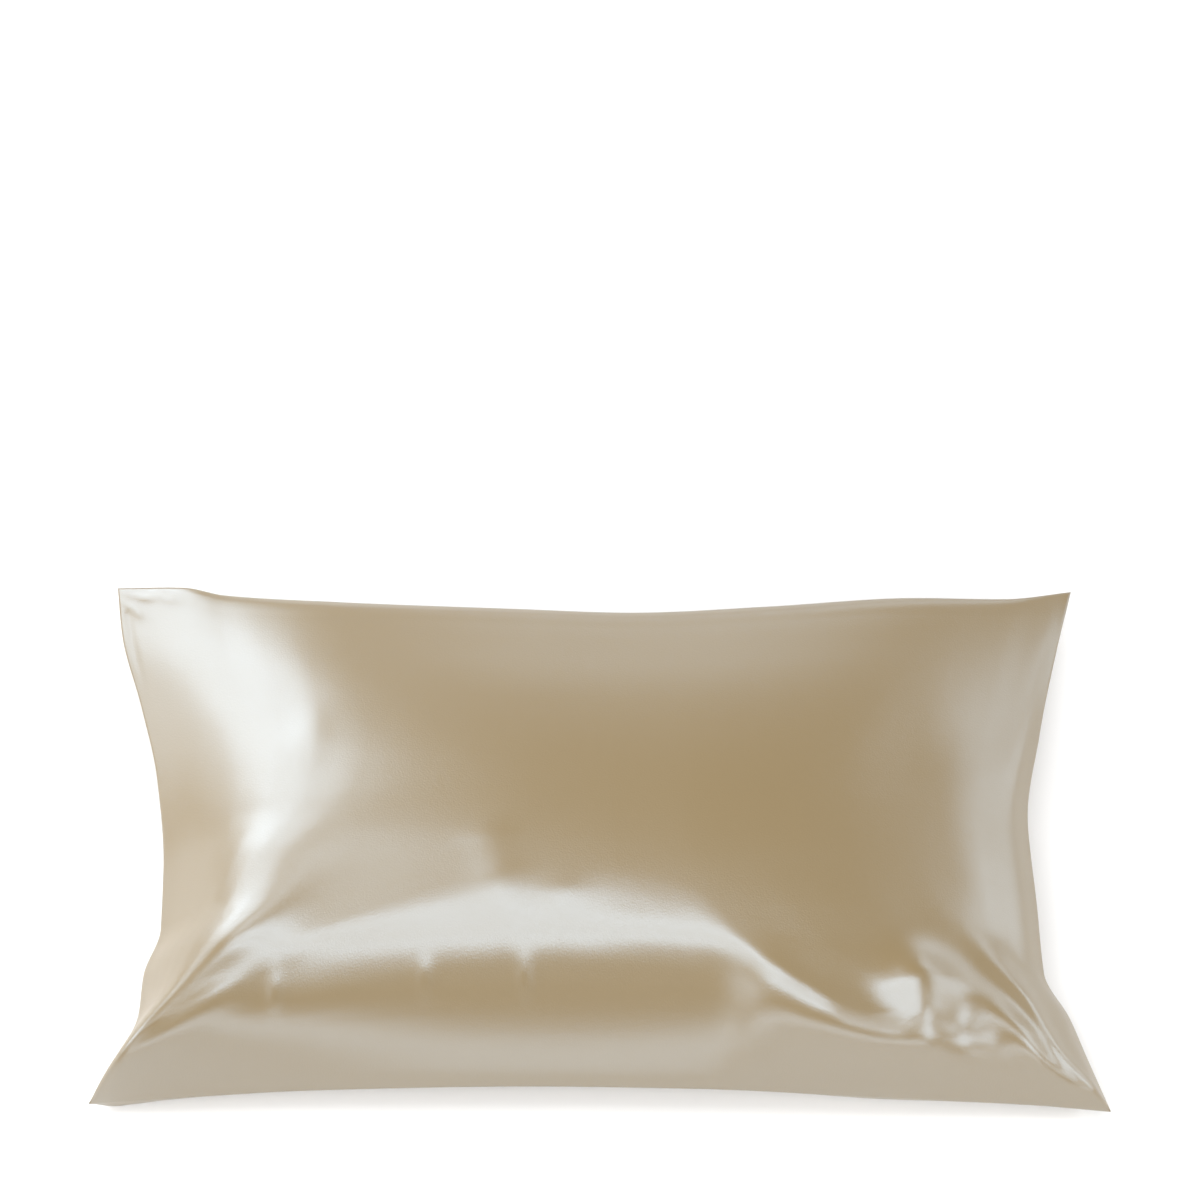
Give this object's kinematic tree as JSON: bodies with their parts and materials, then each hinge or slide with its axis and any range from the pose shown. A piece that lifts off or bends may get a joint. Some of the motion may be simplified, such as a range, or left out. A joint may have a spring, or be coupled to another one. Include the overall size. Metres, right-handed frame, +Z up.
{
  "type": "pillowcase",
  "caption": "Filled champagne satin pillowcase lying on its back, crowned, with drawn-in sides, flat pulled-out corners and soft folds running into them.",
  "frame": {"origin": "under the middle of the case's bounding box, on the surface it lies on", "axes": "+X along the case, to the right when looking at its face with the fuller long side nearest; +Y across it, away from the fuller long side; +Z up, out of the face"},
  "size_m": [0.908, 0.51, 0.1541],
  "materials": {
    "champagne_satin": "lustrous satin weave"
  },
  "bodies": {
    "root": {"pillowcase": "champagne_satin"}
  },
  "joints": []
}
